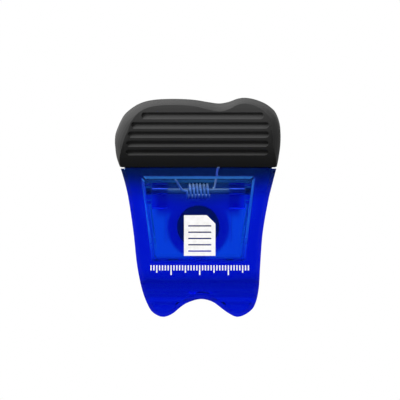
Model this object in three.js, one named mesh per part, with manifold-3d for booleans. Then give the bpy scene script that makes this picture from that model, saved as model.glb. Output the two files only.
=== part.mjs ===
// Magnetic memo clip in the outline of a molar tooth.
//
// Two clear blue jaws face each other and turn on a steel pin. A torsion spring
// wound on the pin pushes their levers apart, so the roots of the tooth grip paper.
// Soft black caps cover the levers, and a disc magnet sits in a cup of the rear jaw.
//
// Units are millimetres. +Z is up, the front faces -Y, +X is on the viewer's right.
// The board that the magnet holds to is the plane y = 0, and the origin is the
// middle of the magnet's face. Depths are distances from the board towards the front.

import * as THREE from "three";
import { mergeVertices } from "three/addons/utils/BufferGeometryUtils.js";
import Module from "manifold-3d";

const wasm = await Module();
wasm.setup();

// Clearances
const fit = 0.3; // between pieces that touch on the real clip
const overrun = 1.0; // how far a cut runs past the face it opens

// Body, the blue part of both jaws below the caps
const bodyHalfWidth = 27.1;
const bodyTop = 20.4; // above the middle of the magnet
const bodyHeight = 51.9;
const bodyFront = 15.0; // front face of the front jaw
const standoff = 0.5; // back face of the rear jaw, clear of the board
const frontEdgeWidth = 1.5; // sloped border round the front face
const frontEdgeDepth = 1.0;
const backEdge = 0.6;

// Body outline, as shares of the half width and of the height below the shoulder
const bodyOutlineShares = [
  [-1.0, 0.0], [-0.94, 0.109], [-0.896, 0.217], [-0.836, 0.432], [-0.791, 0.647],
  [-0.728, 0.81], [-0.653, 0.917], [-0.582, 0.971], [-0.459, 1.0], [-0.336, 0.979],
  [-0.231, 0.934], [-0.127, 0.901], [0.034, 0.879], [0.183, 0.897], [0.287, 0.936],
  [0.392, 0.975], [0.511, 1.0], [0.649, 0.969], [0.731, 0.917], [0.78, 0.81],
  [0.8, 0.647], [0.832, 0.432], [0.903, 0.217], [0.953, 0.109], [1.007, 0.0],
];
const bodyOutlineSteps = 108;

// Hinge
const pinHeight = 12.5;
const pinDepth = 7.5; // pin axis, also the plane where the jaws meet
const pinRadius = 1.0;
const earReach = 2.8; // of an ear above the pin and past it
const frontEarCorner = 0.8; // the rear ears are round about the pin instead
const frontEarDrop = 6.2; // lower side of a front ear, below the pin
const rearEarDrop = 4.5;
const frontEarInner = 10.8; // inner face of a front ear
const frontEarWidth = 5.4;
const rearEarWidth = 1.9;
const ribWidth = 0.9; // rib that carries a front ear's inner face on down its plate
const ribHeight = 1.5;
const ribDrop = 17.4; // foot of the rib, below the pin
const reliefAngle = 13; // degrees, slope of each rim above the pin, over half the opening

// Pocket cored into each jaw behind its plate
const frontPlate = 1.6;
const rearPlate = 1.8;
const pocketTopWall = 2.2;
const pocketTopHalfWidth = 20.4;
const pocketBottomHalfWidth = 16.8;
const pocketHeight = 30.7;
const pocketCorner = 1.2;
const pocketBevelWidth = 0.9; // slope between the pocket's walls and its plate
const pocketBevelDepth = 0.5;
const pocketDraft = 0.5;
const rearPocketInset = 1.2; // the rear pocket is smaller all round

// Jaw mouth
const rimGap = 1.0; // between the rims at rest
const ridgeHeight = 0.55;
const ridgeWidth = 2.2;
const ridgePitch = 3.8;
const ridgeCount = 3;
const mouthHeight = 13.2; // ridged zone above the lowest point of the roots
const lowestRidge = 4.1; // first ridge above the lowest point

// Levers, one for each jaw, inside their caps
const leverLean = 22; // degrees, the front lever at rest
const frontLeverSetback = 1.0; // back of the front lever, before the pin
const frontLeverThickness = 2.0;
const rearLeverDepth = 2.3; // back of the rear lever from the board
const rearLeverThickness = 1.8;
const leverRoot = 1.6; // how deep a lever's foot is sunk in the body's top wall

// Caps over the levers
const capHalfWidth = 28.9;
const frontCapHeight = 24.1; // along the leaning lever
const rearCapHeight = 23.8;
const capParting = 0.5; // between the body's shoulder and the cap
const capWall = 1.5;
const capInset = 0.4; // the rear cap is a little smaller than the front one
const frontSkin = 2.3; // over the front lever at the cap's lower edge
const capBulge = 1.9; // how far the front cap swells in the middle
const softEdgeWidth = 3.8; // rounding all round the front cap
const softEdgeDepth = 3.0;
const softEdgeSteps = 6;
const rearEdgeWidth = 1.0;
const rearEdgeDepth = 0.7;

// Cap outline from its lower right corner, as shares of the half width and the height
const capOutlineShares = [
  [0.951, 0.0], [0.968, 0.11], [0.99, 0.33], [0.988, 0.555], [0.951, 0.723],
  [0.902, 0.819], [0.804, 0.912], [0.68, 0.975], [0.561, 1.0], [0.465, 0.983],
  [0.367, 0.937], [0.252, 0.912], [0.122, 0.933], [-0.07, 0.971], [-0.315, 0.983],
  [-0.549, 0.966], [-0.713, 0.908], [-0.85, 0.79], [-0.923, 0.672], [-1.0, 0.437],
  [-1.0, 0.27], [-0.985, 0.13], [-0.951, 0.0],
];
const capOutlineSteps = 96;

// Grooves across each cap
const grooveWidth = 2.5;
const frontGroovePitch = 3.38;
const rearGroovePitch = 3.2;
const frontGrooveDepth = 0.75;
const rearGrooveDepth = 0.5;
const lowestGroove = 6.1; // above the cap's lower edge
// Section of a groove, a soft brow and a steep upper side over a hollow that curves out to
// the lower lip, as shares of the width down from the brow and of the depth
const grooveSectionShares = [
  [0.0, 0.0], [0.1, 0.12], [0.26, 0.85], [0.34, 1.0], [0.5, 0.96],
  [0.66, 0.8], [0.82, 0.5], [0.93, 0.2], [1.0, 0.0],
];
// Ends of each groove from the lowest up, as shares of the cap's half width
const grooveEndShares = [
  [-0.874, 0.84], [-0.868, 0.844], [-0.848, 0.849], [-0.808, 0.849], [-0.684, 0.784],
];

// Magnet and its cup in the rear jaw
const magnetRadius = 7.5;
const magnetThickness = 3.0;
const magnetEdge = 0.3;
const cupFloor = 0.9;
const cupRadius = 9.1;
const cupRing = 1.3; // wall that stands up round the cup's floor
const cupRingRise = 0.9;

// Torsion spring on the pin
const wireRadius = 0.4;
const coilRadius = 2.4; // to the middle of the wire
const coilPitch = 1.22;
const coilTurns = 6.5;
const legBend = 1.0; // from the coil's end to the foot of a leg
const frontLegAcross = 4.1; // tip of the front leg, sideways from the coil's end
const frontLegRise = 4.3; // tip of the front leg above the pin
const rearLegAcross = 4.0;
const rearLegRise = 13.2;
// Foot of each leg, as shares of its way across
const frontLegFootShare = 0.45;
const rearLegFootShare = 0.42;

// Counts of flat steps in round shapes
const roundSides = 40;
const drumSides = 120; // a large drum, of which only a narrow strip shows
const quarterSteps = 4;
const arcSteps = 8;
const curlSteps = 8; // to one curl of the spring
const wireSides = 5;
const legSteps = 3;

// Worked out
const radians = THREE.MathUtils.degToRad;
const lean = radians(leverLean);
const relief = radians(reliefAngle);
const bodyBottom = bodyTop - bodyHeight;
const pocketTop = bodyTop - pocketTopWall;
const pocketBottom = pocketTop - pocketHeight;
const frontPocketFloor = bodyFront - frontPlate;
const rearPocketFloor = standoff + rearPlate;
const rearLeverFront = rearLeverDepth + rearLeverThickness;
const frontRim = pinDepth + rimGap / 2;
const rearRim = pinDepth - rimGap / 2;
const bore = pinRadius + fit;
const rearEarInner = frontEarInner + frontEarWidth + fit;
const rearEarOuter = rearEarInner + rearEarWidth;
const wideEnough = 2 * capHalfWidth;

// Makes a closed solid from a geometry, without its degenerate triangles.
function solid(geometry) {
  const bare = geometry.clone();
  bare.deleteAttribute("normal");
  bare.deleteAttribute("uv");
  const merged = mergeVertices(bare);
  const index = merged.index.array;
  const kept = [];
  for (let i = 0; i < index.length; i += 3) {
    const [a, b, c] = [index[i], index[i + 1], index[i + 2]];
    if (a !== b && b !== c && c !== a) kept.push(a, b, c);
  }
  const vertProperties = new Float32Array(merged.attributes.position.array);
  return new wasm.Manifold(new wasm.Mesh({ numProp: 3, vertProperties, triVerts: new Uint32Array(kept) }));
}

// Turns a finished solid into a named mesh.
function piece(name, body, material) {
  const result = body.getMesh();
  const geometry = new THREE.BufferGeometry();
  geometry.setAttribute("position", new THREE.BufferAttribute(new Float32Array(result.vertProperties), 3));
  geometry.setIndex(new THREE.BufferAttribute(new Uint32Array(result.triVerts), 1));
  geometry.computeVertexNormals();
  const made = new THREE.Mesh(geometry, material);
  made.name = name;
  return made;
}

// Skins rings of points into one closed geometry, from the ring nearest the board forwards.
// A ring is { points, depth }, with its points anticlockwise as seen from the front.
function loft(rings) {
  const count = rings[0].points.length;
  const positions = rings.flatMap((ring) => ring.points.flatMap((p) => [p.x, -ring.depth, p.y]));
  const index = [];
  for (let k = 0; k < rings.length - 1; k += 1) {
    for (let i = 0; i < count; i += 1) {
      const j = (i + 1) % count;
      const near = k * count;
      const far = near + count;
      index.push(near + i, near + j, far + j, near + i, far + j, far + i);
    }
  }
  const last = (rings.length - 1) * count;
  for (const [a, b, c] of THREE.ShapeUtils.triangulateShape(rings[0].points, [])) index.push(a, c, b);
  for (const [a, b, c] of THREE.ShapeUtils.triangulateShape(rings.at(-1).points, [])) {
    index.push(last + a, last + b, last + c);
  }
  const geometry = new THREE.BufferGeometry();
  geometry.setAttribute("position", new THREE.Float32BufferAttribute(positions, 3));
  geometry.setIndex(index);
  return geometry;
}

// Moves an open outline inwards by the same distance all along. Its two ends slide
// along the straight side that closes it, which stays where it is.
function inset(points, distance) {
  const last = points.length - 1;
  const closing = points[0].clone().sub(points[last]).normalize();
  const direction = (i) => points[i + 1].clone().sub(points[i]).normalize();
  const inward = (along) => new THREE.Vector2(-along.y, along.x);
  return points.map((p, i) => {
    if (i === 0 || i === last) {
      const normal = inward(direction(Math.min(i, last - 1)));
      return p.clone().addScaledVector(closing, distance / closing.dot(normal));
    }
    const normal = inward(direction(i - 1));
    const middle = normal.clone().add(inward(direction(i))).normalize();
    return p.clone().addScaledVector(middle, distance / middle.dot(normal));
  });
}

// A smooth open curve through the points, in steps of equal length.
function smooth(points, steps) {
  return new THREE.SplineCurve(points).getSpacedPoints(steps);
}

// A box between two corners.
function box(x0, x1, depth0, depth1, z0, z1) {
  const geometry = new THREE.BoxGeometry(x1 - x0, depth1 - depth0, z1 - z0);
  return solid(geometry.translate((x0 + x1) / 2, -(depth0 + depth1) / 2, (z0 + z1) / 2));
}

// A disc or rod lying along the depth, round the middle of the magnet.
function disc(radius, depth0, depth1) {
  const geometry = new THREE.CylinderGeometry(radius, radius, depth1 - depth0, roundSides);
  return solid(geometry.translate(0, -(depth0 + depth1) / 2, 0));
}

// A rod along the pin axis.
function rod(radius, halfLength) {
  const geometry = new THREE.CylinderGeometry(radius, radius, 2 * halfLength, roundSides);
  return solid(geometry.rotateZ(Math.PI / 2).translate(0, -pinDepth, pinHeight));
}

// A profile in depth and height, drawn out between two places along X.
function rail(corners, x0, x1) {
  return solid(across(section(corners), x0, x1));
}

// A flat shape from corners in depth and height.
function section(corners) {
  return new THREE.Shape(corners.map(([depth, z]) => new THREE.Vector2(-depth, z)));
}

// Geometry of a shape whose x is -depth and whose y is the height, drawn out along X.
function across(shape, x0, x1) {
  const geometry = new THREE.ExtrudeGeometry(shape, { depth: x1 - x0, bevelEnabled: false });
  const turn = new THREE.Matrix4().makeBasis(
    new THREE.Vector3(0, 1, 0), new THREE.Vector3(0, 0, 1), new THREE.Vector3(1, 0, 0));
  return geometry.applyMatrix4(turn).translate(x0, 0, 0);
}

// Outline of the body, from its left shoulder round the roots to its right shoulder.
function bodyOutline() {
  const points = bodyOutlineShares.map(
    ([side, down]) => new THREE.Vector2(side * bodyHalfWidth, bodyTop - down * bodyHeight));
  return smooth(points, bodyOutlineSteps);
}

// Outline of a cap above its lower edge at z = foot, moved inwards at the sides and top.
// Its lower side is carried down past the edge by the drop.
function capOutline(foot, height, distance, drop) {
  const points = capOutlineShares.map(
    ([side, up]) => new THREE.Vector2(side * capHalfWidth, foot + up * height));
  const moved = inset(smooth(points, capOutlineSteps), distance);
  moved[0].y = foot - drop;
  moved.at(-1).y = foot - drop;
  return moved;
}

// Four-sided outline of a pocket with rounded corners, moved inwards by the given distance.
function pocketOutline(distance) {
  const top = pocketTop - distance;
  const bottom = pocketBottom + distance;
  const topHalf = pocketTopHalfWidth - distance;
  const bottomHalf = pocketBottomHalfWidth - distance;
  const corners = [[-topHalf, top], [-bottomHalf, bottom], [bottomHalf, bottom], [topHalf, top]]
    .map(([x, z]) => new THREE.Vector2(x, z));
  return corners.flatMap((corner, i) => {
    const before = corners[(i + corners.length - 1) % corners.length];
    const after = corners[(i + 1) % corners.length];
    const start = corner.clone().add(before.clone().sub(corner).setLength(pocketCorner));
    const end = corner.clone().add(after.clone().sub(corner).setLength(pocketCorner));
    return new THREE.QuadraticBezierCurve(start, corner, end).getPoints(quarterSteps);
  });
}

// An ear round the pin: a block from its pocket floor to past the pin, with rounded corners.
function ear(x0, x1, floor, drop, corner) {
  const forwards = pinDepth > floor;
  const side = forwards ? 1 : -1;
  const tip = pinDepth + side * earReach;
  const top = pinHeight + earReach;
  const bottom = pinHeight - drop;
  const middle = side * corner - tip;
  const outwards = forwards ? Math.PI : 0;
  const shape = new THREE.Shape();
  shape.moveTo(-floor, top);
  shape.lineTo(-floor, bottom);
  shape.absarc(middle, bottom + corner, corner, -Math.PI / 2, -outwards, forwards);
  shape.absarc(middle, top - corner, corner, outwards, Math.PI / 2, forwards);
  shape.closePath();
  return solid(across(new THREE.Shape(shape.extractPoints(arcSteps).shape), x0, x1));
}

// Both ears of one jaw, with a foot let into its plate.
function ears(inner, width, floor, plate, drop, corner) {
  const rooted = floor + Math.sign(floor - pinDepth) * (plate / 2);
  const right = ear(inner, inner + width, rooted, drop, corner);
  return right.add(ear(-inner - width, -inner, rooted, drop, corner));
}

// The two ribs of the front plate, under the inner faces of its ears.
function ribs() {
  const crest = frontPocketFloor - ribHeight;
  const root = frontPocketFloor + frontPlate / 2;
  const x0 = frontEarInner;
  const x1 = frontEarInner + ribWidth;
  const top = pinHeight;
  const foot = pinHeight - ribDrop;
  return box(x0, x1, crest, root, foot, top).add(box(-x1, -x0, crest, root, foot, top));
}

// Ridges across the mouth of one jaw, standing on its recessed face.
function ridges(facing) {
  const crest = pinDepth + facing * (fit / 2);
  const root = crest + facing * (ridgeHeight + overrun);
  const half = (ridgeWidth / 2) * ((ridgeHeight + overrun) / ridgeHeight);
  let all = null;
  for (let i = 0; i < ridgeCount; i += 1) {
    const z = bodyBottom + lowestRidge + i * ridgePitch;
    const corners = [[crest, z], [root, z - half], [root, z + half]];
    const one = rail(corners, -bodyHalfWidth, bodyHalfWidth);
    all = all ? all.add(one) : one;
  }
  return all;
}

// The wedge that lets a rim swing past the other one above the pin.
function reliefCut(facing) {
  const rim = pinDepth + facing * (rimGap / 2);
  const rise = bodyTop + overrun - pinHeight;
  const behind = pinDepth - facing * bodyFront;
  const corners = [
    [rim, pinHeight], [rim + facing * rise * Math.tan(relief), pinHeight + rise],
    [behind, pinHeight + rise], [behind, pinHeight],
  ];
  return rail(corners, -wideEnough, wideEnough);
}

// The shallow recess of the mouth between whose walls the ridges stand.
function mouthCut(facing) {
  const face = pinDepth + facing * (fit / 2 + ridgeHeight);
  const other = pinDepth - facing * bodyFront;
  const low = bodyBottom - overrun;
  const near = Math.min(face, other);
  const far = Math.max(face, other);
  return box(-wideEnough, wideEnough, near, far, low, bodyBottom + mouthHeight);
}

// The front lever's frame: up along the lever, with the pin as its origin.
function onFrontLever(geometry) {
  return geometry.rotateX(lean).translate(0, -pinDepth, pinHeight);
}

// Height along the front lever where a point at this depth before the pin shows at height z.
function alongLever(z, before) {
  return (z - pinHeight + before * Math.sin(lean)) / Math.cos(lean);
}

const frontLeverFace = frontLeverSetback + frontLeverThickness;
const frontCapFace = frontLeverFace + fit + frontSkin;
const frontCapFoot = alongLever(bodyTop + capParting, frontCapFace);
const rearCapFoot = bodyTop + capParting;

function frontJaw() {
  const outline = bodyOutline();
  const block = solid(loft([
    { points: outline, depth: frontRim },
    { points: outline, depth: bodyFront - frontEdgeDepth },
    { points: inset(outline, frontEdgeWidth), depth: bodyFront },
  ]));
  const pocket = solid(loft([
    { points: pocketOutline(0), depth: frontRim - overrun },
    { points: pocketOutline(pocketDraft), depth: frontPocketFloor - pocketBevelDepth },
    { points: pocketOutline(pocketDraft + pocketBevelWidth), depth: frontPocketFloor },
  ]));
  const footDrop = frontCapFoot - alongLever(bodyTop - leverRoot, frontLeverFace);
  const leverOutline = capOutline(frontCapFoot, frontCapHeight, capWall + fit, footDrop);
  const lever = solid(onFrontLever(loft([
    { points: leverOutline, depth: frontLeverSetback },
    { points: leverOutline, depth: frontLeverFace },
  ])));
  return block
    .add(lever)
    .subtract(pocket)
    .subtract(reliefCut(1))
    .subtract(mouthCut(1))
    .add(ridges(1).intersect(solid(loft([
      { points: outline, depth: standoff },
      { points: outline, depth: bodyFront - frontPlate },
    ]))))
    .add(ears(
      frontEarInner, frontEarWidth, frontPocketFloor, frontPlate, frontEarDrop, frontEarCorner))
    .add(ribs())
    .subtract(rod(bore, rearEarInner));
}

function rearJaw() {
  const outline = bodyOutline();
  const block = solid(loft([
    { points: inset(outline, backEdge), depth: standoff },
    { points: outline, depth: standoff + backEdge },
    { points: outline, depth: rearRim },
  ]));
  const pocket = solid(loft([
    {
      points: pocketOutline(rearPocketInset + pocketDraft + pocketBevelWidth),
      depth: rearPocketFloor,
    },
    {
      points: pocketOutline(rearPocketInset + pocketDraft),
      depth: rearPocketFloor + pocketBevelDepth,
    },
    { points: pocketOutline(rearPocketInset), depth: rearRim + overrun },
  ]));
  const middle = pocketBottom + pocketHeight / 2;
  const spine = box(
    -pocketTopHalfWidth, pocketTopHalfWidth, rearLeverFront, bodyFront, middle, bodyTop + overrun);
  const leverOutline = capOutline(
    rearCapFoot, rearCapHeight - capInset, capInset + capWall + fit, capParting + leverRoot);
  const lever = solid(loft([
    { points: leverOutline, depth: rearLeverDepth },
    { points: leverOutline, depth: rearLeverFront },
  ]));
  const cupTop = magnetThickness + fit + cupFloor;
  const cup = disc(cupRadius, rearPocketFloor - rearPlate / 2, cupTop + cupRingRise)
    .subtract(disc(cupRadius - cupRing, cupTop, bodyFront));
  return block
    .subtract(pocket)
    .subtract(spine)
    .subtract(reliefCut(-1))
    .subtract(mouthCut(-1))
    .add(ridges(-1).intersect(solid(loft([
      { points: outline, depth: rearPocketFloor },
      { points: outline, depth: bodyFront },
    ]))))
    .add(lever)
    .add(ears(rearEarInner, rearEarWidth, rearPocketFloor, rearPlate, rearEarDrop, earReach))
    .add(cup)
    .subtract(disc(magnetRadius + fit, -overrun, magnetThickness + fit))
    .subtract(rod(bore, rearEarOuter + overrun / 2));
}

// One groove across a cap, whose face is given by its depth at each height. The cut is
// positive on the front cap, and place moves the cutter onto its lever.
function groove(left, right, z, cut, faceAt, place) {
  const half = grooveWidth / 2;
  const top = z + half;
  const foot = z - half;
  const clear = Math.sign(cut) * overrun;
  const hollow = grooveSectionShares.map(([down, deep]) => {
    const height = top - down * grooveWidth;
    return [faceAt(height) - deep * cut, height];
  });
  const profile = section([
    [faceAt(top) + clear, top], ...hollow, [faceAt(foot) + clear, foot],
  ]);
  const ends = new THREE.Shape();
  ends.absarc(right - half, z, half, -Math.PI / 2, Math.PI / 2);
  ends.absarc(left + half, z, half, Math.PI / 2, -Math.PI / 2);
  const { shape: points } = ends.extractPoints(arcSteps);
  const slot = loft([
    { points, depth: faceAt(z) - bodyFront },
    { points, depth: faceAt(z) + bodyFront },
  ]);
  return solid(place(across(profile, left, right))).intersect(solid(place(slot)));
}

// All the grooves of one cap, cut from its lowest up.
function grooved(cap, foot, pitch, cut, faceAt, place) {
  return grooveEndShares.reduce((body, [leftShare, rightShare], i) => {
    const z = foot + lowestGroove + i * pitch;
    const [left, right] = [leftShare * capHalfWidth, rightShare * capHalfWidth];
    return body.subtract(groove(left, right, z, cut, faceAt, place));
  }, cap);
}

function frontCap() {
  const outer = capOutline(frontCapFoot, frontCapHeight, 0, 0);
  const top = frontCapFace + capBulge;
  const bulgeRadius = ((frontCapHeight / 2) ** 2 + capBulge ** 2) / (2 * capBulge);
  const middle = frontCapFoot + frontCapHeight / 2;
  const faceAt = (z) => top - bulgeRadius + Math.sqrt(bulgeRadius ** 2 - (z - middle) ** 2);
  const soft = [];
  for (let i = 0; i <= softEdgeSteps; i += 1) {
    const turn = (i / softEdgeSteps) * (Math.PI / 2);
    soft.push({
      points: inset(outer, softEdgeWidth * (1 - Math.cos(turn))),
      depth: top - softEdgeDepth * (1 - Math.sin(turn)),
    });
  }
  const block = solid(onFrontLever(loft([{ points: outer, depth: frontLeverSetback }, ...soft])));
  const drum = new THREE.CylinderGeometry(bulgeRadius, bulgeRadius, 2 * wideEnough, drumSides);
  const crowned = solid(onFrontLever(
    drum.rotateZ(Math.PI / 2).translate(0, bulgeRadius - top, middle)));
  const hollowOutline = capOutline(frontCapFoot, frontCapHeight, capWall, overrun);
  const hollow = solid(onFrontLever(loft([
    { points: hollowOutline, depth: frontLeverSetback - overrun },
    { points: hollowOutline, depth: frontLeverFace + fit },
  ])));
  const cap = block.intersect(crowned).subtract(hollow);
  return grooved(cap, frontCapFoot, frontGroovePitch, frontGrooveDepth, faceAt, onFrontLever);
}

function rearCap() {
  const height = rearCapHeight - capInset;
  const outer = capOutline(rearCapFoot, height, capInset, 0);
  const block = solid(loft([
    { points: inset(outer, rearEdgeWidth), depth: standoff },
    { points: outer, depth: standoff + rearEdgeDepth },
    { points: outer, depth: rearLeverFront },
  ]));
  const hollowOutline = capOutline(rearCapFoot, height, capInset + capWall, overrun);
  const hollow = solid(loft([
    { points: hollowOutline, depth: rearLeverDepth - fit },
    { points: hollowOutline, depth: rearLeverFront + overrun },
  ]));
  const flat = () => standoff;
  const upright = (geometry) => geometry;
  return grooved(
    block.subtract(hollow), rearCapFoot, rearGroovePitch, -rearGrooveDepth, flat, upright);
}

function hingePin() {
  return rod(pinRadius, rearEarOuter - fit);
}

function magnet() {
  const half = [
    [0, 0], [magnetRadius - magnetEdge, 0], [magnetRadius, magnetEdge],
    [magnetRadius, magnetThickness - magnetEdge], [magnetRadius - magnetEdge, magnetThickness],
    [0, magnetThickness],
  ].map(([radius, depth]) => new THREE.Vector2(radius, depth));
  return solid(new THREE.LatheGeometry(half, roundSides).rotateX(Math.PI));
}

// Middle line of the spring wire: the front leg's tip, the coil, then the rear leg's tip.
function springLine() {
  const coilHalf = (coilPitch * coilTurns) / 2;
  const frontTip = frontPocketFloor - fit - wireRadius;
  const rearRest = rearLeverFront + fit + wireRadius;
  const front = pinDepth + coilRadius;
  const rear = pinDepth - coilRadius;
  const at = (x, depth, z) => new THREE.Vector3(x, -depth, z);
  const frontFoot = at(-coilHalf - frontLegFootShare * frontLegAcross, front, pinHeight + wireRadius);
  const frontEnd = at(-coilHalf - frontLegAcross, frontTip, pinHeight + frontLegRise);
  const rearFoot = at(coilHalf + rearLegFootShare * rearLegAcross, rearRest, pinHeight + legBend);
  const rearEnd = at(coilHalf + rearLegAcross, rearRest, pinHeight + rearLegRise);
  const coil = [];
  for (let i = 0; i <= coilTurns * curlSteps; i += 1) {
    const turn = (i / curlSteps) * 2 * Math.PI;
    const x = -coilHalf + (i / curlSteps) * coilPitch;
    coil.push(at(x, pinDepth + coilRadius * Math.cos(turn), pinHeight - coilRadius * Math.sin(turn)));
  }
  const frontLeg = bend(frontEnd, frontFoot, coil[0]);
  const rearLeg = bend(rearEnd, rearFoot, coil.at(-1)).reverse();
  return [...frontLeg, ...coil, ...rearLeg];
}

// A straight leg from its tip to its foot, bent there towards the end of the coil.
function bend(tip, foot, coilEnd) {
  const start = foot.clone().lerp(tip, (2 * wireRadius) / foot.distanceTo(tip));
  const curve = new THREE.QuadraticBezierCurve3(start, foot, coilEnd);
  const straight = Array.from({ length: legSteps }, (_, i) => tip.clone().lerp(start, i / legSteps));
  return [...straight, ...curve.getPoints(quarterSteps).slice(0, -1)];
}

// A round wire of few sides along a line of points, without a twist.
function wire(line) {
  const rings = [];
  const tangentAt = (i) => {
    const before = line[Math.max(i - 1, 0)];
    const after = line[Math.min(i + 1, line.length - 1)];
    return after.clone().sub(before).normalize();
  };
  let side = new THREE.Vector3(1, 0, 0).cross(tangentAt(0)).normalize();
  for (let i = 0; i < line.length; i += 1) {
    const tangent = tangentAt(i);
    side = side.clone().sub(tangent.clone().multiplyScalar(side.dot(tangent))).normalize();
    const other = tangent.clone().cross(side);
    rings.push(Array.from({ length: wireSides }, (_, k) => {
      const turn = (k / wireSides) * 2 * Math.PI;
      return line[i].clone()
        .addScaledVector(side, wireRadius * Math.cos(turn))
        .addScaledVector(other, wireRadius * Math.sin(turn));
    }));
  }
  return rings;
}

// Skins the rings of a wire and closes both of its ends.
function wireGeometry(rings) {
  const index = [];
  for (let i = 0; i < rings.length - 1; i += 1) {
    for (let k = 0; k < wireSides; k += 1) {
      const next = (k + 1) % wireSides;
      const near = i * wireSides;
      const far = near + wireSides;
      index.push(near + k, near + next, far + next, near + k, far + next, far + k);
    }
  }
  const last = (rings.length - 1) * wireSides;
  for (let k = 1; k < wireSides - 1; k += 1) {
    index.push(0, k + 1, k, last, last + k, last + k + 1);
  }
  const geometry = new THREE.BufferGeometry();
  const positions = rings.flat().flatMap((p) => p.toArray());
  geometry.setAttribute("position", new THREE.Float32BufferAttribute(positions, 3));
  geometry.setIndex(index);
  return geometry;
}

// Least gap between stretches of the wire that lie at least half a curl apart.
function leastGap(rings) {
  let least = Infinity;
  for (let i = 0; i < rings.length; i += 1) {
    for (let j = i + curlSteps / 2; j < rings.length; j += 1) {
      for (const a of rings[i]) {
        for (const b of rings[j]) least = Math.min(least, a.distanceTo(b));
      }
    }
  }
  return least;
}

const blue = { color: 0x0a2bd6, roughness: 0.08, metalness: 0, transparent: true, opacity: 0.6 };
const black = { color: 0x2b2b2b, roughness: 0.6, metalness: 0 };
const steel = { color: 0xc9ced2, roughness: 0.25, metalness: 1 };
const ferrite = { color: 0x2e2e30, roughness: 0.7, metalness: 0.2 };
const material = (look) => new THREE.MeshStandardMaterial(look);

const springRings = wire(springLine());
console.log(`torsion_spring least gap to itself ${leastGap(springRings).toFixed(2)} mm`);

const clip = new THREE.Group();
clip.add(
  piece("rear_jaw", rearJaw(), material(blue)),
  piece("front_jaw", frontJaw(), material(blue)),
  piece("rear_grip", rearCap(), material(black)),
  piece("front_grip", frontCap(), material(black)),
  piece("hinge_pin", hingePin(), material(steel)),
  piece("torsion_spring", solid(wireGeometry(springRings)), material(steel)),
  piece("magnet", magnet(), material(ferrite)),
);

export default clip;
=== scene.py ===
import math

import bmesh
import bpy
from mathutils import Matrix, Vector, geometry


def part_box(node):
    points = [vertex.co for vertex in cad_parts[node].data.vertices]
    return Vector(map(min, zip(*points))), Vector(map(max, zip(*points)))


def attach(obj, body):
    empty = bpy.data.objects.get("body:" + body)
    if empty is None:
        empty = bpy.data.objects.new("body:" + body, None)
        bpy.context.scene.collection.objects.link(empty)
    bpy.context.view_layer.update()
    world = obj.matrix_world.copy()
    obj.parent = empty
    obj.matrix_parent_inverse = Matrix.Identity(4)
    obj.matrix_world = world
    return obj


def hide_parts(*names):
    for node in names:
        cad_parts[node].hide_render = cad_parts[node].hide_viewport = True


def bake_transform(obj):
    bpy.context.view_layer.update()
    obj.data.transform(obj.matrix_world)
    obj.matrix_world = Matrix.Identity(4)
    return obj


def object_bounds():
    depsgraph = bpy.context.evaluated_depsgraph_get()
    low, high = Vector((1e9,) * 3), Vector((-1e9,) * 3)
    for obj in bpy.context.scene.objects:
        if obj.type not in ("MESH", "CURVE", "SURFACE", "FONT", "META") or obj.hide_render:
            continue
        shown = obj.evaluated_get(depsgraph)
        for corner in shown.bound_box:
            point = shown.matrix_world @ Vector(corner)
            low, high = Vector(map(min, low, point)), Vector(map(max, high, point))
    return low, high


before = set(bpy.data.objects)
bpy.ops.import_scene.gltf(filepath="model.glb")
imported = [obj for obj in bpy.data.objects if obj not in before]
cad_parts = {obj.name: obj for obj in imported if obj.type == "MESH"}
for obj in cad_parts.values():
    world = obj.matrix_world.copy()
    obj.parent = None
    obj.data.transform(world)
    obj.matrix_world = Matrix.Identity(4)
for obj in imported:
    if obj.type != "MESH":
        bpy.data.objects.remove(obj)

bl_info = {
    "name": "Magnetic Memo Clip",
    "version": (1, 0, 0),
    "blender": (4, 5, 0),
    "location": "View3D > Sidebar > Memo Clip",
    "description": (
        "Dresses a spring clip with clear blue jaws, soft grips, a wound spring and a printed front"),
    "category": "Object",
}

MM = 0.001
CAD_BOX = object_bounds()

# Places and sizes that the CAD model gives
PIN_LOW, PIN_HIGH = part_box("hinge_pin")
PIN = (PIN_LOW + PIN_HIGH) / 2
JAW_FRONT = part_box("front_jaw")[0].y  # foremost point of the front jaw, on its lever
GRIP_LOW, GRIP_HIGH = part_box("front_grip")
MAGNET_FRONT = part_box("magnet")[0].y
FACE = -15.0 * MM  # front face of the front jaw, below its lever
POCKET_FOOT = -13.2 * MM  # just below the pockets
STEP_WIDTH = 0.9 * MM  # sloped step between a pocket's walls and its plate
STEP_DEPTH = 0.5 * MM

# Zones of the jaws' tint, measured from the middle of the magnet
# The zone under the grips is painted shade on the rear wall and painted light on the front wall
GRIP_SHADE_START = 5 * MM  # height where the shade under the grips starts
GRIP_SHADE_FULL = 16 * MM  # and where it is full
GRIP_SHADE_RISE = 0.15  # how much higher both lie for each unit of length aside
# Painted shade: the band behind the pin and the disc round the magnet's cup darken the rear wall; round the
# cup it also stands for the thicker wall
PIN_BAND_START = 2 * MM  # the same for the band behind the pin
PIN_BAND_FULL = 6.5 * MM
PIN_BAND_FULL_ASIDE = 13.5 * MM
PIN_BAND_END_ASIDE = 16 * MM
CUP_ZONE_FULL = 10.2 * MM  # disc over and round the magnet's cup
CUP_ZONE_END = 11.8 * MM
DEEP_BAND_MIDDLE = -20 * MM  # band between the pocket and the mouth
DEEP_BAND_REACH = 6 * MM

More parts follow.
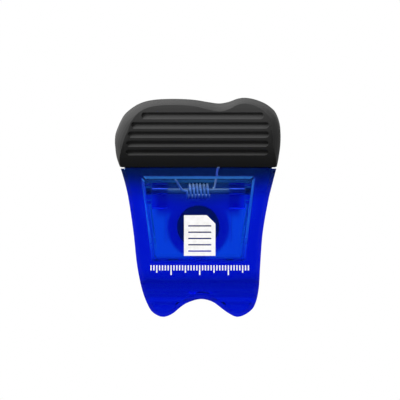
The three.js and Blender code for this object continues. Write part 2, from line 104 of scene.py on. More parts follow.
# Matt finish of the step round a pocket, painted pale as a highlight that fades towards the pocket's foot
STEP_FACING = math.cos(math.atan2(STEP_DEPTH, STEP_WIDTH))  # share of its normal along Y
STEP_FACING_TOLERANCE = 0.028
STEP_FADE_START = POCKET_FOOT + 3 * MM
STEP_FADE_FULL = POCKET_FOOT + 14 * MM
STEP_SCATTER = 0.95  # share of the light that it scatters and doesn't let through
STEP_ROUGHNESS = 0.4  # on top of the polished wall's

# Painted sheen on the rubber, by how far a face looks up or aside, with patches of wear
LIP_START = -0.3
LIP_FULL = 0.05
PATCH_STRENGTH = 0.1

# Legs of the spring, each with a foot between its bend and the coil
FRONT_TIP_RISE = 4.3 * MM  # above the pin
FRONT_FOOT_ASIDE = 1.85 * MM  # past the end of the coil
REAR_REST = 0.3 * MM  # how far behind the coil the rear leg lies
REAR_FOOT_ASIDE = 1.7 * MM
REAR_FOOT_RISE = 1.0 * MM
BEND_REACH = 2.2  # of a bend each way from its foot, in radii of the wire
BEND_REACH_SHARE = 0.6  # most that it takes of the way to the coil
BEND_PULL = 0.7  # how hard the foot draws the bend into its corner
LEAD_SHARE = 0.6  # where the last point before the coil lies

# Print on the front face
INK_FRONT = FACE - 0.02 * MM
INK_BACK = FACE - 0.004 * MM  # clear of the face by a hair
PRINT_MIDDLE = 0.5 * MM  # of the sheet and of the scale, along X
SHEET_MIDDLE = -3.0 * MM  # height of the sheet's middle
SCALE_TOP = -13.4 * MM

# Inputs and output of a Mix node for colours, which share their names with its other ones
MIX_SHARE, MIX_FROM, MIX_TO = 0, 6, 7
MIX_RESULT = 2


def linear(hex_colour):
    """Turns an sRGB hex colour into linear red, green and blue, with an alpha of one."""
    parts = [int(hex_colour[i:i + 2], 16) / 255 for i in (1, 3, 5)]
    return (*(p / 12.92 if p <= 0.04045 else ((p + 0.055) / 1.055) ** 2.4 for p in parts), 1.0)


def add_node(tree, kind, inputs=None, **settings):
    """Adds a node with its settings. Each input gets a value, or a link where it is an output."""
    made = tree.nodes.new(kind)
    for key, value in settings.items():
        setattr(made, key, value)
    for key, value in (inputs or {}).items():
        if isinstance(value, bpy.types.NodeSocket):
            tree.links.new(value, made.inputs[key])
        else:
            made.inputs[key].default_value = value
    return made


def new_material(name):
    """A material with an empty node tree, and that tree."""
    material = bpy.data.materials.new(name)
    material.use_nodes = True
    material.node_tree.nodes.clear()
    return material, material.node_tree


def matt_step_and_painted_highlight(tree, height):
    """One on the sloped step round a jaw's pocket, fading out towards the pocket's foot: the mask of its matt
    finish and its painted highlight.
    """
    normal = add_node(tree, "ShaderNodeTexCoord").outputs["Normal"]
    along = add_node(tree, "ShaderNodeSeparateXYZ", {"Vector": normal}).outputs["Y"]
    facing = add_node(tree, "ShaderNodeMath", {0: along}, operation="ABSOLUTE").outputs[0]
    sloped = add_node(
        tree, "ShaderNodeMath", {0: facing, 1: STEP_FACING, 2: STEP_FACING_TOLERANCE},
        operation="COMPARE").outputs[0]
    above = add_node(
        tree, "ShaderNodeMapRange",
        {"Value": height, "From Min": STEP_FADE_START, "From Max": STEP_FADE_FULL},
        interpolation_type="SMOOTHSTEP").outputs[0]
    return add_node(tree, "ShaderNodeMath", {0: sloped, 1: above}, operation="MULTIPLY").outputs[0]


def zoned_tint(tree, place, tint, painted_grip_zone_tint, deep, cup):
    """The wall's tint, with zones of painted shade, painted light and deeper tint fixed to the jaw.

    A real moulding has one tint. The zones stand for what the photo shows there through
    shade, refraction and depth, so they don't change with the light as the real ones do.
    """
    axes = add_node(tree, "ShaderNodeSeparateXYZ", {"Vector": place}).outputs
    aside = add_node(tree, "ShaderNodeMath", {0: axes["X"]}, operation="ABSOLUTE").outputs[0]
    leaning = add_node(
        tree, "ShaderNodeMath", {0: aside, 1: -GRIP_SHADE_RISE, 2: axes["Z"]},
        operation="MULTIPLY_ADD").outputs[0]
    from_band = add_node(
        tree, "ShaderNodeMath", {0: axes["Z"], 1: DEEP_BAND_MIDDLE}, operation="SUBTRACT").outputs[0]
    off_band = add_node(tree, "ShaderNodeMath", {0: from_band}, operation="ABSOLUTE").outputs[0]
    flat = add_node(
        tree, "ShaderNodeVectorMath", {0: place, 1: (1, 0, 1)}, operation="MULTIPLY").outputs["Vector"]
    from_magnet = add_node(tree, "ShaderNodeVectorMath", {0: flat}, operation="LENGTH").outputs["Value"]

    shares = []
    for value, start, full in (
        (leaning, GRIP_SHADE_START, GRIP_SHADE_FULL),
        (from_magnet, CUP_ZONE_END, CUP_ZONE_FULL),
        (axes["Z"], PIN_BAND_START, PIN_BAND_FULL),
        (aside, PIN_BAND_END_ASIDE, PIN_BAND_FULL_ASIDE),
        (off_band, 0.0, DEEP_BAND_REACH),
    ):
        shares.append(add_node(
            tree, "ShaderNodeMapRange", {"Value": value, "From Min": start, "From Max": full},
            interpolation_type="SMOOTHSTEP").outputs[0])
    under_grips, over_cup, high_enough, between_ears, clear_of_band = shares
    # Painted shade behind the pin and round the cup
    pin_band = add_node(
        tree, "ShaderNodeMath", {0: high_enough, 1: between_ears}, operation="MULTIPLY").outputs[0]
    dark = add_node(tree, "ShaderNodeMath", {0: over_cup, 1: pin_band}, operation="MAXIMUM").outputs[0]
    below = add_node(tree, "ShaderNodeMath", {0: axes["Z"], 1: POCKET_FOOT}, operation="LESS_THAN").outputs[0]

    # Under the grips: painted shade on the rear wall, painted light on the front wall
    layers = {"plain": tint, "painted_grip_zone_tint": painted_grip_zone_tint, "deep": deep, "cup": cup}
    for layer, share, low, high in (
        ("upper", dark, "plain", "cup"),
        ("upper", under_grips, "upper", "painted_grip_zone_tint"),
        ("lower", clear_of_band, "deep", "plain"),
        ("wall", below, "upper", "lower"),
    ):
        layers[layer] = add_node(
            tree, "ShaderNodeMix", {MIX_SHARE: share, MIX_FROM: layers[low], MIX_TO: layers[high]},
            data_type="RGBA").outputs[MIX_RESULT]
    return layers["wall"]


def clear_blue_styrene(name, tint, painted_grip_zone_tint, deep, cup, depth_tint, per_metre):
    """Clear polystyrene, tinted blue and moulded in a polished tool.

    Light passes straight through a thin wall and comes out bright cobalt, while a thick
    rim drinks it to a deep ultramarine. Edges are faintly rounded and catch thin lines.
    The step round the pocket is taken to be matt, and is painted pale as a highlight, which gives the window
    a paler frame.
    """
    material, tree = new_material(name)
    place = add_node(tree, "ShaderNodeTexCoord").outputs["Object"]
    height = add_node(tree, "ShaderNodeSeparateXYZ", {"Vector": place}).outputs["Z"]
    clear = zoned_tint(tree, place, tint, painted_grip_zone_tint, deep, cup)
    step = matt_step_and_painted_highlight(tree, height)
    # Pale cyan on the step: painted highlight
    wall = add_node(
        tree, "ShaderNodeMix", {MIX_SHARE: step, MIX_FROM: clear, MIX_TO: linear("#90F0FF")},
        data_type="RGBA").outputs[MIX_RESULT]
    through = add_node(
        tree, "ShaderNodeMath", {0: step, 1: -STEP_SCATTER, 2: 1.0}, operation="MULTIPLY_ADD").outputs[0]
    # Flow marks of the melt, about 6 mm apart and very shallow
    flow = add_node(
        tree, "ShaderNodeTexNoise", {"Vector": place, "Scale": 1 / (6 * MM), "Detail": 2.0}).outputs["Fac"]
    edge = add_node(tree, "ShaderNodeBevel", {"Radius": 0.2 * MM}, samples=4).outputs["Normal"]
    bump = add_node(
        tree, "ShaderNodeBump",
        {"Height": flow, "Strength": 0.06, "Distance": 0.2 * MM, "Normal": edge}).outputs["Normal"]
    polish = add_node(
        tree, "ShaderNodeMapRange", {"Value": flow, "To Min": 0.015, "To Max": 0.05}).outputs[0]
    roughness = add_node(
        tree, "ShaderNodeMath", {0: step, 1: STEP_ROUGHNESS, 2: polish}, operation="MULTIPLY_ADD").outputs[0]
    # Polystyrene has an IOR of 1.59. The lower one was matched to the photo: it nearly
    # clears a bright spot at the mouth.
    surface = add_node(
        tree, "ShaderNodeBsdfPrincipled",
        {"Base Color": wall, "Roughness": roughness, "Normal": bump, "Transmission Weight": through,
         "Specular Tint": linear("#30639C"), "IOR": 1.52})
    volume = add_node(tree, "ShaderNodeVolumeAbsorption", {"Color": depth_tint, "Density": per_metre})
    add_node(
        tree, "ShaderNodeOutputMaterial",
        {"Surface": surface.outputs["BSDF"], "Volume": volume.outputs["Volume"]})
    return material


def soft_black_elastomer(colour, wear_and_sheen_colour):
    """Black thermoplastic elastomer, moulded over a spark-eroded tool.

    It has a dull satin face with a fine even grain. It is painted greyer towards its top and on the
    lips of its grooves and faces that look aside, as painted light, with faint patches of wear.
    """
    material, tree = new_material("soft_black_elastomer")
    coordinates = add_node(tree, "ShaderNodeTexCoord").outputs
    place = coordinates["Object"]
    # Spark grain is about 0.05 mm, drawn at 0.25 mm so that it shows
    grain = add_node(
        tree, "ShaderNodeTexNoise", {"Vector": place, "Scale": 1 / (0.25 * MM), "Detail": 3.0}).outputs["Fac"]
    # Hands leave faint patches about 9 mm across
    patches = add_node(
        tree, "ShaderNodeTexNoise", {"Vector": place, "Scale": 1 / (9 * MM), "Detail": 2.0}).outputs["Fac"]
    height = add_node(tree, "ShaderNodeSeparateXYZ", {"Vector": place}).outputs["Z"]
    # Painted light: greyer towards the top, and on faces that look up or aside
    painted_top_light = add_node(
        tree, "ShaderNodeMapRange",
        {"Value": height, "From Min": GRIP_LOW.z, "From Max": GRIP_HIGH.z}).outputs[0]
    facing = add_node(tree, "ShaderNodeSeparateXYZ", {"Vector": coordinates["Normal"]}).outputs
    sideways = add_node(tree, "ShaderNodeMath", {0: facing["X"]}, operation="ABSOLUTE").outputs[0]
    turned = add_node(tree, "ShaderNodeMath", {0: facing["Z"], 1: sideways}, operation="ADD").outputs[0]
    lips = add_node(
        tree, "ShaderNodeMapRange", {"Value": turned, "From Min": LIP_START, "From Max": LIP_FULL},
        interpolation_type="SMOOTHSTEP").outputs[0]
    painted_sheen = add_node(tree, "ShaderNodeMath", {0: painted_top_light, 1: lips}, operation="MAXIMUM").outputs[0]
    wear_and_sheen = add_node(
        tree, "ShaderNodeMath", {0: patches, 1: PATCH_STRENGTH, 2: painted_sheen},
        operation="MULTIPLY_ADD").outputs[0]
    share = add_node(
        tree, "ShaderNodeMapRange", {"Value": wear_and_sheen, "From Min": 0.05, "From Max": 1.0}).outputs[0]
    shade = add_node(
        tree, "ShaderNodeMix", {MIX_SHARE: share, MIX_FROM: colour, MIX_TO: wear_and_sheen_colour},
        data_type="RGBA").outputs[MIX_RESULT]
    bump = add_node(
        tree, "ShaderNodeBump", {"Height": grain, "Strength": 0.25, "Distance": 0.03 * MM}).outputs["Normal"]
    roughness = add_node(
        tree, "ShaderNodeMapRange", {"Value": grain, "To Min": 0.5, "To Max": 0.62}).outputs[0]
    surface = add_node(
        tree, "ShaderNodeBsdfPrincipled",
        {"Base Color": shade, "Roughness": roughness, "Normal": bump, "IOR": 1.5, "Specular IOR Level": 0.04})
    add_node(tree, "ShaderNodeOutputMaterial", {"Surface": surface.outputs["BSDF"]})
    return material


def drawn_steel(name, colour, roughness, mark_spacing):
    """Drawn steel, bright from the die, with a fine unevenness that softens its gleam.

    Real die marks are a few hundredths of a millimetre apart, drawn wider so that they show.
    """
    material, tree = new_material(name)
    place = add_node(tree, "ShaderNodeTexCoord").outputs["Object"]
    marks = add_node(
        tree, "ShaderNodeTexNoise",
        {"Vector": place, "Scale": 1 / mark_spacing, "Detail": 4.0}).outputs["Fac"]
    bump = add_node(
        tree, "ShaderNodeBump", {"Height": marks, "Strength": 0.15, "Distance": 0.01 * MM}).outputs["Normal"]
    uneven = add_node(
        tree, "ShaderNodeMapRange",
        {"Value": marks, "To Min": roughness, "To Max": roughness + 0.12}).outputs[0]
    surface = add_node(
        tree, "ShaderNodeBsdfPrincipled",
        {"Base Color": colour, "Metallic": 1.0, "Roughness": uneven, "Normal": bump})
    add_node(tree, "ShaderNodeOutputMaterial", {"Surface": surface.outputs["BSDF"]})
    return material


def ground_ferrite(colour, fleck, glue):
    """Hard ferrite, pressed and ground flat: charcoal grey with a dull sparkle of grain.

    The face in the cup is taken to be pale with glue, because it shows through the blue.
    """
    material, tree = new_material("ground_ferrite")
    place = add_node(tree, "ShaderNodeTexCoord").outputs["Object"]
    depth = add_node(tree, "ShaderNodeSeparateXYZ", {"Vector": place}).outputs["Y"]
    glue_full = MAGNET_FRONT + 0.2 * MM
    glue_end = MAGNET_FRONT + 0.3 * MM
    glued = add_node(
        tree, "ShaderNodeMapRange", {"Value": depth, "From Min": glue_end, "From Max": glue_full}).outputs[0]
    # Grain is a few hundredths of a millimetre, drawn at 0.3 mm so that it shows
    grain = add_node(
        tree, "ShaderNodeTexNoise", {"Vector": place, "Scale": 1 / (0.3 * MM), "Detail": 5.0}).outputs["Fac"]
    flecked = add_node(
        tree, "ShaderNodeMapRange", {"Value": grain, "From Min": 0.35, "From Max": 0.7}).outputs[0]
    stone = add_node(
        tree, "ShaderNodeMix", {MIX_SHARE: flecked, MIX_FROM: colour, MIX_TO: fleck},
        data_type="RGBA").outputs[MIX_RESULT]
    shade = add_node(
        tree, "ShaderNodeMix", {MIX_SHARE: glued, MIX_FROM: stone, MIX_TO: glue},
        data_type="RGBA").outputs[MIX_RESULT]
    bump = add_node(
        tree, "ShaderNodeBump", {"Height": grain, "Strength": 0.3, "Distance": 0.03 * MM}).outputs["Normal"]
    surface = add_node(
        tree, "ShaderNodeBsdfPrincipled", {"Base Color": shade, "Roughness": 0.55, "Normal": bump})
    add_node(tree, "ShaderNodeOutputMaterial", {"Surface": surface.outputs["BSDF"]})
    return material


def white_pad_ink(colour, thin):
    """White pad-printing ink: opaque and even, with a faint mottle from the pad."""
    material, tree = new_material("white_pad_ink")
    place = add_node(tree, "ShaderNodeTexCoord").outputs["Object"]
    # The pad leaves patches about 1.2 mm across
    mottle = add_node(
        tree, "ShaderNodeTexNoise", {"Vector": place, "Scale": 1 / (1.2 * MM), "Detail": 3.0}).outputs["Fac"]
    thick = add_node(
        tree, "ShaderNodeMapRange", {"Value": mottle, "From Min": 0.3, "From Max": 0.6}).outputs[0]
    shade = add_node(
        tree, "ShaderNodeMix", {MIX_SHARE: thick, MIX_FROM: thin, MIX_TO: colour},
        data_type="RGBA").outputs[MIX_RESULT]
    surface = add_node(
        tree, "ShaderNodeBsdfPrincipled", {"Base Color": shade, "Roughness": 0.35, "IOR": 1.5})
    add_node(tree, "ShaderNodeOutputMaterial", {"Surface": surface.outputs["BSDF"]})
    return material


def pale_paper(reach):
    """Pale paper sweep: near the clip it keeps the shadow, and it fades to white at its rim."""
    material, tree = new_material("pale_paper")
    place = add_node(tree, "ShaderNodeTexCoord").outputs["Object"]
    # Fibres are a few hundredths of a millimetre thick, drawn at 2 mm so that they show
    fibre = add_node(
        tree, "ShaderNodeTexNoise", {"Vector": place, "Scale": 1 / (2 * MM), "Detail": 4.0}).outputs["Fac"]
    bump = add_node(
        tree, "ShaderNodeBump", {"Height": fibre, "Strength": 0.05, "Distance": 0.05 * MM}).outputs["Normal"]
    paper = add_node(
        tree, "ShaderNodeBsdfPrincipled", {"Base Color": linear("#595959"), "Roughness": 0.8, "Normal": bump})
    white = add_node(tree, "ShaderNodeEmission", {"Color": linear("#FFFFFF"), "Strength": 1.0})
    away = add_node(tree, "ShaderNodeVectorMath", {0: place}, operation="LENGTH").outputs["Value"]
    fade = add_node(
        tree, "ShaderNodeMapRange",
        {"Value": away, "From Min": 0.25 * reach, "From Max": 0.95 * reach, "To Min": 0.8},
        interpolation_type="SMOOTHSTEP").outputs[0]
    seen = add_node(tree, "ShaderNodeMath", {0: fade, 1: seen_rays(tree)}, operation="MULTIPLY").outputs[0]
    mix = add_node(
        tree, "ShaderNodeMixShader", {0: seen, 1: paper.outputs["BSDF"], 2: white.outputs["Emission"]})
    add_node(tree, "ShaderNodeOutputMaterial", {"Surface": mix.outputs["Shader"]})
    return material


def seen_rays(tree):
    """One for rays from the camera, a mirror or a clear wall, nought for soft light."""
    path = add_node(tree, "ShaderNodeLightPath").outputs
    either = add_node(
        tree, "ShaderNodeMath", {0: path["Is Camera Ray"], 1: path["Is Glossy Ray"]},
        operation="MAXIMUM").outputs[0]
    return add_node(
        tree, "ShaderNodeMath", {0: either, 1: path["Is Transmission Ray"]}, operation="MAXIMUM").outputs[0]


def mesh_object(name, bm, material, smooth=True):
    """Puts a finished bmesh into the scene as an object with one material."""
    bmesh.ops.recalc_face_normals(bm, faces=bm.faces)
    mesh = bpy.data.meshes.new(name)
    bm.to_mesh(mesh)
    bm.free()
    for polygon in mesh.polygons:
        polygon.use_smooth = smooth
    mesh.materials.append(material)
    made = bpy.data.objects.new(name, mesh)
    bpy.context.scene.collection.objects.link(made)
    return made


def dress(node, material, sharp_degrees):
    """Gives a CAD node its material, and smooth shading up to the angle of a sharp edge."""
    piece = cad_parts[node]
    piece.data.materials.clear()
    piece.data.materials.append(material)
    with bpy.context.temp_override(object=piece, selected_editable_objects=[piece], active_object=piece):
        bpy.ops.object.shade_auto_smooth(angle=math.radians(sharp_degrees))


def tube(bm, line, radius, sides):
    """Skins a round wire along a line of points and closes both ends."""
    turns = [2 * math.pi * k / sides for k in range(sides)]
    rings = []
    side = None
    for i, point in enumerate(line):
        before = line[max(i - 1, 0)]
        after = line[min(i + 1, len(line) - 1)]
        tangent = (after - before).normalized()
        side = tangent.orthogonal() if side is None else side - tangent * side.dot(tangent)
        side.normalize()
        other = tangent.cross(side)
        rings.append([
            bm.verts.new(point + radius * (math.cos(turn) * side + math.sin(turn) * other))
            for turn in turns])
    for near, far in zip(rings, rings[1:]):
        for k in range(sides):
            j = (k + 1) % sides
            bm.faces.new((near[k], near[j], far[j], far[k]))
    bm.faces.new(list(reversed(rings[0])))
    bm.faces.new(rings[-1])


class JawSettings(bpy.types.PropertyGroup):
    tint: bpy.props.StringProperty(
        name="Front tint", description="Colour of the front jaw's thin wall", default="#6AB4F3")
    rear_tint: bpy.props.StringProperty(
        name="Rear tint", description="Colour of the rear jaw's thin wall", default="#257CE7")
    # Painted light: the front wall under the grips is painted paler, so that the spring behind it looks lit
    painted_spring_light_tint: bpy.props.StringProperty(
        name="Clearer tint", description="Colour of the front wall before the spring", default="#C0DCE4")
    # Painted shade of the grips on the rear wall
    painted_grip_zone_tint: bpy.props.StringProperty(
        name="Shaded tint", description="Colour of the rear wall under the grips", default="#22424A")
    deep: bpy.props.StringProperty(
        name="Deep tint", description="Colour of the rear wall between its pocket and its mouth",
        default="#1240C4")
    # Painted shade round the magnet's cup and behind the pin, also standing for the thicker wall round the
    # cup
    cup: bpy.props.StringProperty(
        name="Cup tint", description="Colour of the rear wall round the magnet's cup and behind the pin",
        default="#0A0CC0")
    depth_tint: bpy.props.StringProperty(
        name="Depth tint", description="Colour that a thick wall tends to", default="#89A8FA")
    depth_density: bpy.props.FloatProperty(
        name="Depth density", description="How fast a thick wall darkens, per metre", default=400.0)


class GripSettings(bpy.types.PropertyGroup):
    colour: bpy.props.StringProperty(name="Colour", description="Elastomer as moulded", default="#242424")
    # Grey of the painted light on the grips, and of their patches of wear
    wear_and_sheen_colour: bpy.props.StringProperty(
        name="Rubbed colour", description="Elastomer where hands rub it", default="#454545")


class SpringSettings(bpy.types.PropertyGroup):
    wire: bpy.props.FloatProperty(
        name="Wire", description="Thickness of the wire", default=0.8 * MM, unit="LENGTH", precision=5)
    coil_radius: bpy.props.FloatProperty(
        name="Coil radius", description="To the middle of the wire", default=2.4 * MM, unit="LENGTH",
        precision=5)
    pitch: bpy.props.FloatProperty(
        name="Pitch", description="From one turn to the next", default=1.22 * MM, unit="LENGTH", precision=5)
    turns: bpy.props.FloatProperty(name="Turns", description="Turns of the coil", default=6.5)
    colour: bpy.props.StringProperty(name="Colour", description="Bright spring steel", default="#F2F4F6")


class PrintSettings(bpy.types.PropertyGroup):
    colour: bpy.props.StringProperty(name="Colour", description="Ink as printed", default="#FFFFFF")
    width: bpy.props.FloatProperty(
        name="Sheet width", description="Width of the printed sheet", default=11.0 * MM, unit="LENGTH",
        precision=5)
    height: bpy.props.FloatProperty(
        name="Sheet height", description="Height of the printed sheet", default=14.2 * MM, unit="LENGTH",
        precision=5)
    ticks: bpy.props.IntProperty(name="Ticks", description="Millimetres on the printed scale", default=34)


class MEMOCLIP_OT_jaws(bpy.types.Operator):
    """Finish the two clear blue jaws"""
    bl_idname = "memoclip.jaws"
    bl_label = "Jaws"

    def execute(self, context):
        chosen = context.scene.memoclip_jaws
        # Plain, under the grips (painted light on the front, painted shade on the rear), between pocket and
        # mouth, and round the cup and behind the pin
        front = (chosen.tint, chosen.painted_spring_light_tint, chosen.tint, chosen.tint)
        rear = (chosen.rear_tint, chosen.painted_grip_zone_tint, chosen.deep, chosen.cup)
        for node, tints in (("front_jaw", front), ("rear_jaw", rear)):
            styrene = clear_blue_styrene(
                f"clear_blue_styrene_{node}", *(linear(tint) for tint in tints), linear(chosen.depth_tint),
                chosen.depth_density)
            dress(node, styrene, sharp_degrees=25)
        return {"FINISHED"}


class MEMOCLIP_OT_grips(bpy.types.Operator):
    """Finish the two soft black grips"""
    bl_idname = "memoclip.grips"
    bl_label = "Grips"

    def execute(self, context):
        chosen = context.scene.memoclip_grips
        elastomer = soft_black_elastomer(linear(chosen.colour), linear(chosen.wear_and_sheen_colour))
        for node in ("front_grip", "rear_grip"):
            dress(node, elastomer, sharp_degrees=35)
        return {"FINISHED"}


class MEMOCLIP_OT_hinge(bpy.types.Operator):
    """Finish the pin and wind the torsion spring on it"""
    bl_idname = "memoclip.hinge"
    bl_label = "Pin and spring"

    def execute(self, context):
        chosen = context.scene.memoclip_spring
        plain = drawn_steel("drawn_pin_steel", linear("#A0A8B0"), roughness=0.42, mark_spacing=0.2 * MM)
        dress("hinge_pin", plain, sharp_degrees=35)
        bright = drawn_steel(
            "bright_spring_steel", linear(chosen.colour), roughness=0.34, mark_spacing=0.15 * MM)
        bm = bmesh.new()
        tube(bm, self.line(chosen), chosen.wire / 2, sides=16)
        spring = mesh_object("wound_spring", bm, bright)
        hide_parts("torsion_spring")
        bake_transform(spring)
        return {"FINISHED"}

    def line(self, chosen):
        """Middle line of the wire, from the front leg's tip through the coil to the rear leg's tip."""
        low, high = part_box("torsion_spring")
        half = chosen.pitch * chosen.turns / 2
        radius = chosen.wire / 2
        front = PIN.y - chosen.coil_radius
        rear = PIN.y + chosen.coil_radius + REAR_REST
        points_per_turn = 40
        coil = []
        for i in range(round(chosen.turns * points_per_turn) + 1):
            turn = 2 * math.pi * i / points_per_turn
            coil.append(Vector((
                PIN.x - half + chosen.pitch * i / points_per_turn,
                PIN.y - chosen.coil_radius * math.cos(turn),
                PIN.z - chosen.coil_radius * math.sin(turn))))
        front_tip = Vector((low.x + radius, low.y + radius, PIN.z + FRONT_TIP_RISE))
        front_foot = Vector((PIN.x - half - FRONT_FOOT_ASIDE, front, PIN.z + radius))
        rear_tip = Vector((high.x - radius, rear, high.z))
        rear_foot = Vector((PIN.x + half + REAR_FOOT_ASIDE, rear, PIN.z + REAR_FOOT_RISE))
        front_leg = self.leg(front_tip, front_foot, coil[0], radius)
        rear_leg = self.leg(rear_tip, rear_foot, coil[-1], radius)
        return front_leg + coil + rear_leg[::-1]

    def leg(self, tip, foot, coil_end, radius):
        """A straight leg, bent at its foot and led straight on to the coil."""
        straight_points = 4
        bend_points = 10
        reach = BEND_REACH * radius
        start = foot.lerp(tip, reach / (foot - tip).length)
        end = foot.lerp(coil_end, min(reach / (foot - coil_end).length, BEND_REACH_SHARE))
        straight = [tip.lerp(start, i / straight_points) for i in range(straight_points)]
        bend = geometry.interpolate_bezier(
            start, start.lerp(foot, BEND_PULL), end.lerp(foot, BEND_PULL), end, bend_points)
        return straight + list(bend) + [end.lerp(coil_end, LEAD_SHARE)]


class MEMOCLIP_OT_magnet(bpy.types.Operator):
    """Finish the disc magnet"""
    bl_idname = "memoclip.magnet"
    bl_label = "Magnet"

    def execute(self, context):
        ferrite = ground_ferrite(linear("#2E2E31"), fleck=linear("#47474C"), glue=linear("#F0F4FF"))
        dress("magnet", ferrite, sharp_degrees=35)
        return {"FINISHED"}


class MEMOCLIP_OT_print(bpy.types.Operator):
    """Print a plain ruled memo sheet and a scale on the front jaw"""
    bl_idname = "memoclip.print"
    bl_label = "Print"

    def execute(self, context):
        chosen = context.scene.memoclip_print
        ink = white_pad_ink(linear(chosen.colour), thin=linear("#F4F4F2"))
        bm = bmesh.new()
        self.sheet(bm, chosen)
        self.scale(bm, chosen)
        mark = mesh_object("printed_marks", bm, ink, smooth=False)
        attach(mark, "front")
        return {"FINISHED"}

    def patch(self, bm, corners):
        """A flat patch of ink with corners (x, z)."""
        rings = [[bm.verts.new((x, y, z)) for x, z in corners] for y in (INK_FRONT, INK_BACK)]
        bm.faces.new(rings[0])
        bm.faces.new(list(reversed(rings[1])))
        for i in range(len(corners)):
            j = (i + 1) % len(corners)
            bm.faces.new((rings[0][i], rings[1][i], rings[1][j], rings[0][j]))

    def sheet(self, bm, chosen):
        """A memo sheet with one corner cut off, made of the strips between its ruled lines."""
        left = PRINT_MIDDLE - chosen.width / 2
        right = left + chosen.width
        top = SHEET_MIDDLE + chosen.height / 2
        bottom = top - chosen.height
        cut = 3.0 * MM
        rule = 0.45 * MM  # thickness of a ruled line
        pitch = 2.2 * MM
        head = 1.6 * pitch  # bare part above the first line
        margin = 1.5 * MM
        lines = 5
        rules = [top - head - i * pitch for i in range(lines)]
        edges = [top, *rules]
        for i, edge in enumerate(edges):
            upper = edge - (rule if i else 0)
            lower = edges[i + 1] if i + 1 < len(edges) else bottom
            if i == 0:
                right_top = [(right, upper - cut), (right - cut, upper)]
            else:
                right_top = [(right, upper)]
            self.patch(bm, [(left, lower), (right, lower), *right_top, (left, upper)])
        for z in rules:
            for x0, x1 in ((left, left + margin), (right - margin, right)):
                self.patch(bm, [(x0, z - rule), (x1, z - rule), (x1, z), (x0, z)])

    def scale(self, bm, chosen):
        """A plain scale of ticks one millimetre apart, longer at each fifth and tenth."""
        half = chosen.ticks // 2
        half_width = 0.22 * MM
        lengths = {10: 3.4 * MM, 5: 2.6 * MM, 1: 1.8 * MM}
        for i in range(-half, half + 1):
            foot = SCALE_TOP - next(length for every, length in lengths.items() if i % every == 0)
            middle = PRINT_MIDDLE + i * MM
            x0, x1 = middle - half_width, middle + half_width
            self.patch(bm, [(x0, foot), (x1, foot), (x1, SCALE_TOP), (x0, SCALE_TOP)])


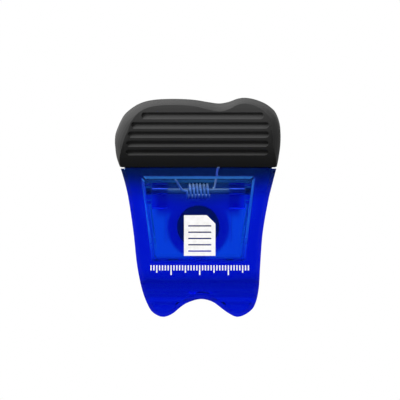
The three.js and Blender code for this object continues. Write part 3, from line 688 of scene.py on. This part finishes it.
class MEMOCLIP_OT_stage(bpy.types.Operator):
    """Set the floor, the lights, the world and the camera"""
    bl_idname = "memoclip.stage"
    bl_label = "Stage"

    def execute(self, context):
        self.floor()
        self.world(context.scene)
        self.lamps(context.scene)
        self.camera(context.scene)
        context.scene.view_settings.view_transform = "Standard"
        return {"FINISHED"}

    def floor(self):
        reach = 0.55
        drop = 75 * MM  # below the clip, out of the front view
        bm = bmesh.new()
        bmesh.ops.create_circle(bm, cap_ends=True, segments=96, radius=reach)
        floor = mesh_object("floor", bm, pale_paper(reach), smooth=False)
        floor.location.z = CAD_BOX[0].z - drop

    def world(self, scene):
        """White wherever it is seen, and a soft low light elsewhere."""
        world = bpy.data.worlds.new("studio")
        world.use_nodes = True
        tree = world.node_tree
        tree.nodes.clear()
        soft = add_node(tree, "ShaderNodeBackground", {"Color": linear("#FFFFFF"), "Strength": 0.1})
        white = add_node(tree, "ShaderNodeBackground", {"Color": linear("#FFFFFF"), "Strength": 1.0})
        mix = add_node(
            tree, "ShaderNodeMixShader",
            {0: seen_rays(tree), 1: soft.outputs["Background"], 2: white.outputs["Background"]})
        add_node(tree, "ShaderNodeOutputWorld", {"Surface": mix.outputs["Shader"]})
        scene.world = world

    def lamps(self, scene):
        target = Vector((0, PIN.y, 8 * MM))  # just below the pin
        for name, place, size, watts in (
            ("key", (-0.95, -0.6, 0.75), 0.6, 30.0),
            ("fill", (0.9, -0.35, 0.5), 0.6, 5.0),
            ("top", (0.05, -0.17, 0.95), 0.5, 2.5),
        ):
            light = bpy.data.lights.new(name, "AREA")
            light.size = size
            light.energy = watts
            lamp = bpy.data.objects.new(name, light)
            lamp.location = place
            lamp.rotation_euler = (target - lamp.location).to_track_quat("-Z", "Y").to_euler()
            scene.collection.objects.link(lamp)

    def camera(self, scene):
        """The photograph looks straight at the front, from far off."""
        frame_pixels = 400
        mm_per_pixel = 0.3475
        distance = 1.5
        aside = 0.6 * MM
        height = 9.4 * MM
        data = bpy.data.cameras.new("camera")
        data.sensor_width = 36.0
        data.lens = data.sensor_width * distance / (frame_pixels * mm_per_pixel * MM)
        camera = bpy.data.objects.new("camera", data)
        camera.location = (aside, JAW_FRONT - distance, height)
        camera.rotation_euler = (math.radians(90), 0, 0)
        scene.collection.objects.link(camera)
        scene.camera = camera


class MEMOCLIP_PT_panel(bpy.types.Panel):
    """Lists the clip's pieces"""
    bl_idname = "MEMOCLIP_PT_panel"
    bl_label = "Memo Clip"
    bl_space_type = "VIEW_3D"
    bl_region_type = "UI"
    bl_category = "Memo Clip"

    def draw(self, context):
        for operator in OPERATORS:
            self.layout.operator(operator.bl_idname)


SETTINGS = {
    "memoclip_jaws": JawSettings,
    "memoclip_grips": GripSettings,
    "memoclip_spring": SpringSettings,
    "memoclip_print": PrintSettings,
}
OPERATORS = (
    MEMOCLIP_OT_jaws,
    MEMOCLIP_OT_grips,
    MEMOCLIP_OT_hinge,
    MEMOCLIP_OT_magnet,
    MEMOCLIP_OT_print,
    MEMOCLIP_OT_stage,
)


def register():
    for name, group in SETTINGS.items():
        bpy.utils.register_class(group)
        setattr(bpy.types.Scene, name, bpy.props.PointerProperty(type=group))
    for cls in (*OPERATORS, MEMOCLIP_PT_panel):
        bpy.utils.register_class(cls)


def unregister():
    for cls in (MEMOCLIP_PT_panel, *reversed(OPERATORS)):
        bpy.utils.unregister_class(cls)
    for name, group in reversed(SETTINGS.items()):
        delattr(bpy.types.Scene, name)
        bpy.utils.unregister_class(group)


def main():
    register()
    bpy.ops.memoclip.jaws()
    bpy.ops.memoclip.grips()
    bpy.ops.memoclip.hinge()
    bpy.ops.memoclip.magnet()
    bpy.ops.memoclip.print()
    bpy.ops.memoclip.stage()


if __name__ == "__main__":
    main()
